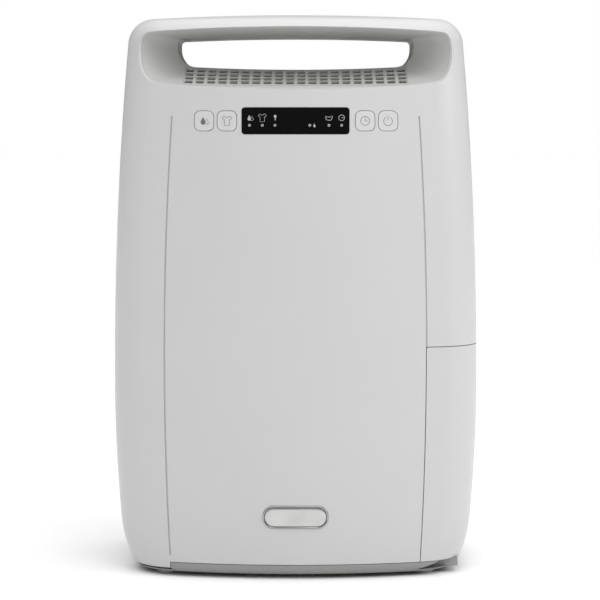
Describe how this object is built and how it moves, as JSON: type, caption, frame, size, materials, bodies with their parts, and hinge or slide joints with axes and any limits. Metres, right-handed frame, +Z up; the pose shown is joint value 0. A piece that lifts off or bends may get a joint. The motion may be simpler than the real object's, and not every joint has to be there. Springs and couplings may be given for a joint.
{
  "type": "dehumidifier",
  "caption": "Upright compressor dehumidifier with a through handle, outlet grille, front keys and display, rear filter and a water tank that slides out sideways.",
  "frame": {"origin": "on the floor, under the middle of the casing", "axes": "+Z up, the front faces -Y, +X to the right seen from the front"},
  "size_m": [0.331, 0.215, 0.507],
  "materials": {
    "white_casing": "satin gloss, very fine texture",
    "warm_grey_plastic": "fine matt texture",
    "grey_base": "fine matt texture",
    "foot_rubber": "soft matt",
    "display_black": "polished",
    "bright_plate": "polished, bare",
    "white_key": "satin",
    "circuit_board": "solder mask",
    "inner_plastic": "moulded",
    "tank_plastic": "translucent grey",
    "float_foam": "closed foam",
    "magnet": "ground",
    "black_plastic": "moulded",
    "filter_net": "fine net",
    "fin_aluminium": "rolled sheet",
    "copper": "drawn tube",
    "zinc_sheet": "zinc plated",
    "grey_rubber": "soft matt",
    "black_paint": "baked paint",
    "iron_laminations": "stacked sheet",
    "cast_iron_block": "machined",
    "turned_steel": "turned",
    "grommet_rubber": "soft matt",
    "capacitor_can": "drawn can",
    "lead_sheath": "smooth sheath",
    "screw_steel": "zinc plated"
  },
  "bodies": {
    "casing": {"accumulator": "black_paint", "base_tray": "grey_base", "capillary_tube": "copper", "casing_screws": "screw_steel", "coil_end_plates": "zinc_sheet", "compressor_bolts": "zinc_sheet", "compressor_grommets": "grommet_rubber", "compressor_lead": "lead_sheath", "compressor_pump": "cast_iron_block", "compressor_shell": "black_paint", "compressor_stator": "iron_laminations", "condenser_fins": "fin_aluminium", "condenser_tubes": "copper", "control_board": "circuit_board", "cord_gland": "black_plastic", "discharge_pipe": "copper", "display_window": "display_black", "drain_spout": "inner_plastic", "drip_tray": "black_plastic", "electronics_box": "black_plastic", "evaporator_fins": "fin_aluminium", "evaporator_tubes": "copper", "fan_motor": "zinc_sheet", "fan_scroll": "inner_plastic", "fan_shroud": "inner_plastic", "feet": "foot_rubber", "filter_dryer": "copper", "front_cover": "white_casing", "front_plate": "bright_plate", "handle_liner_front": "warm_grey_plastic", "handle_liner_rear": "warm_grey_plastic", "humidity_sensor": "white_key", "inner_frame": "inner_plastic", "level_sensor": "black_plastic", "liquid_pipe": "copper", "mains_lead": "lead_sheath", "motor_lead": "lead_sheath", "motor_mount": "zinc_sheet", "outlet_grille": "warm_grey_plastic", "power_board": "circuit_board", "rear_cover": "white_casing", "run_capacitor": "capacitor_can", "suction_pipe": "copper", "terminal_cover": "black_plastic"},
    "water_tank": {"tank": "tank_plastic", "tank_skin": "white_casing", "tank_lid": "tank_plastic", "float_pin": "inner_plastic"},
    "tank_float_arm": {"tank_float": "float_foam", "float_magnet": "magnet"},
    "humidity_key": {"humidity_button": "white_key"},
    "laundry_key": {"laundry_button": "white_key"},
    "timer_key": {"timer_button": "white_key"},
    "power_key": {"power_button": "white_key"},
    "fan": {"fan_wheel": "black_plastic", "motor_shaft": "turned_steel"},
    "compressor_crank": {"compressor_rotor": "turned_steel"},
    "air_filter": {"filter_frame": "white_casing", "filter_mesh": "filter_net"},
    "drain_cap": {"drain_plug": "grey_rubber"}
  },
  "joints": [
    {"name": "tank_slide", "type": "slide", "parent": "casing", "child": "water_tank", "axis": [1, 0, 0], "range_m": [0, 0.12]},
    {"name": "float_hinge", "type": "hinge", "parent": "water_tank", "child": "tank_float_arm", "pos_m": [0.0585, 0, 0.15], "axis": [0, -1, 0], "range_deg": [0, 20]},
    {"name": "fan_spin", "type": "hinge", "parent": "casing", "child": "fan", "pos_m": [0, -0.03, 0.3053], "axis": [0, 1, 0], "continuous": true},
    {"name": "rotor_spin", "type": "hinge", "parent": "casing", "child": "compressor_crank", "pos_m": [-0.088, 0.008, 0.12], "axis": [0, 0, 1], "continuous": true},
    {"name": "filter_slide", "type": "slide", "parent": "casing", "child": "air_filter", "axis": [0, 1, 0], "range_m": [0, 0.06]},
    {"name": "drain_cap_slide", "type": "slide", "parent": "casing", "child": "drain_cap", "axis": [0, 1, 0], "range_m": [0, 0.013]},
    {"name": "humidity_press", "type": "slide", "parent": "casing", "child": "humidity_key", "axis": [0, 1, 0], "range_m": [0, 0.001], "stiffness_N_per_m": 600},
    {"name": "laundry_press", "type": "slide", "parent": "casing", "child": "laundry_key", "axis": [0, 1, 0], "range_m": [0, 0.001], "stiffness_N_per_m": 600},
    {"name": "timer_press", "type": "slide", "parent": "casing", "child": "timer_key", "axis": [0, 1, 0], "range_m": [0, 0.001], "stiffness_N_per_m": 600},
    {"name": "power_press", "type": "slide", "parent": "casing", "child": "power_key", "axis": [0, 1, 0], "range_m": [0, 0.001], "stiffness_N_per_m": 600}
  ]
}
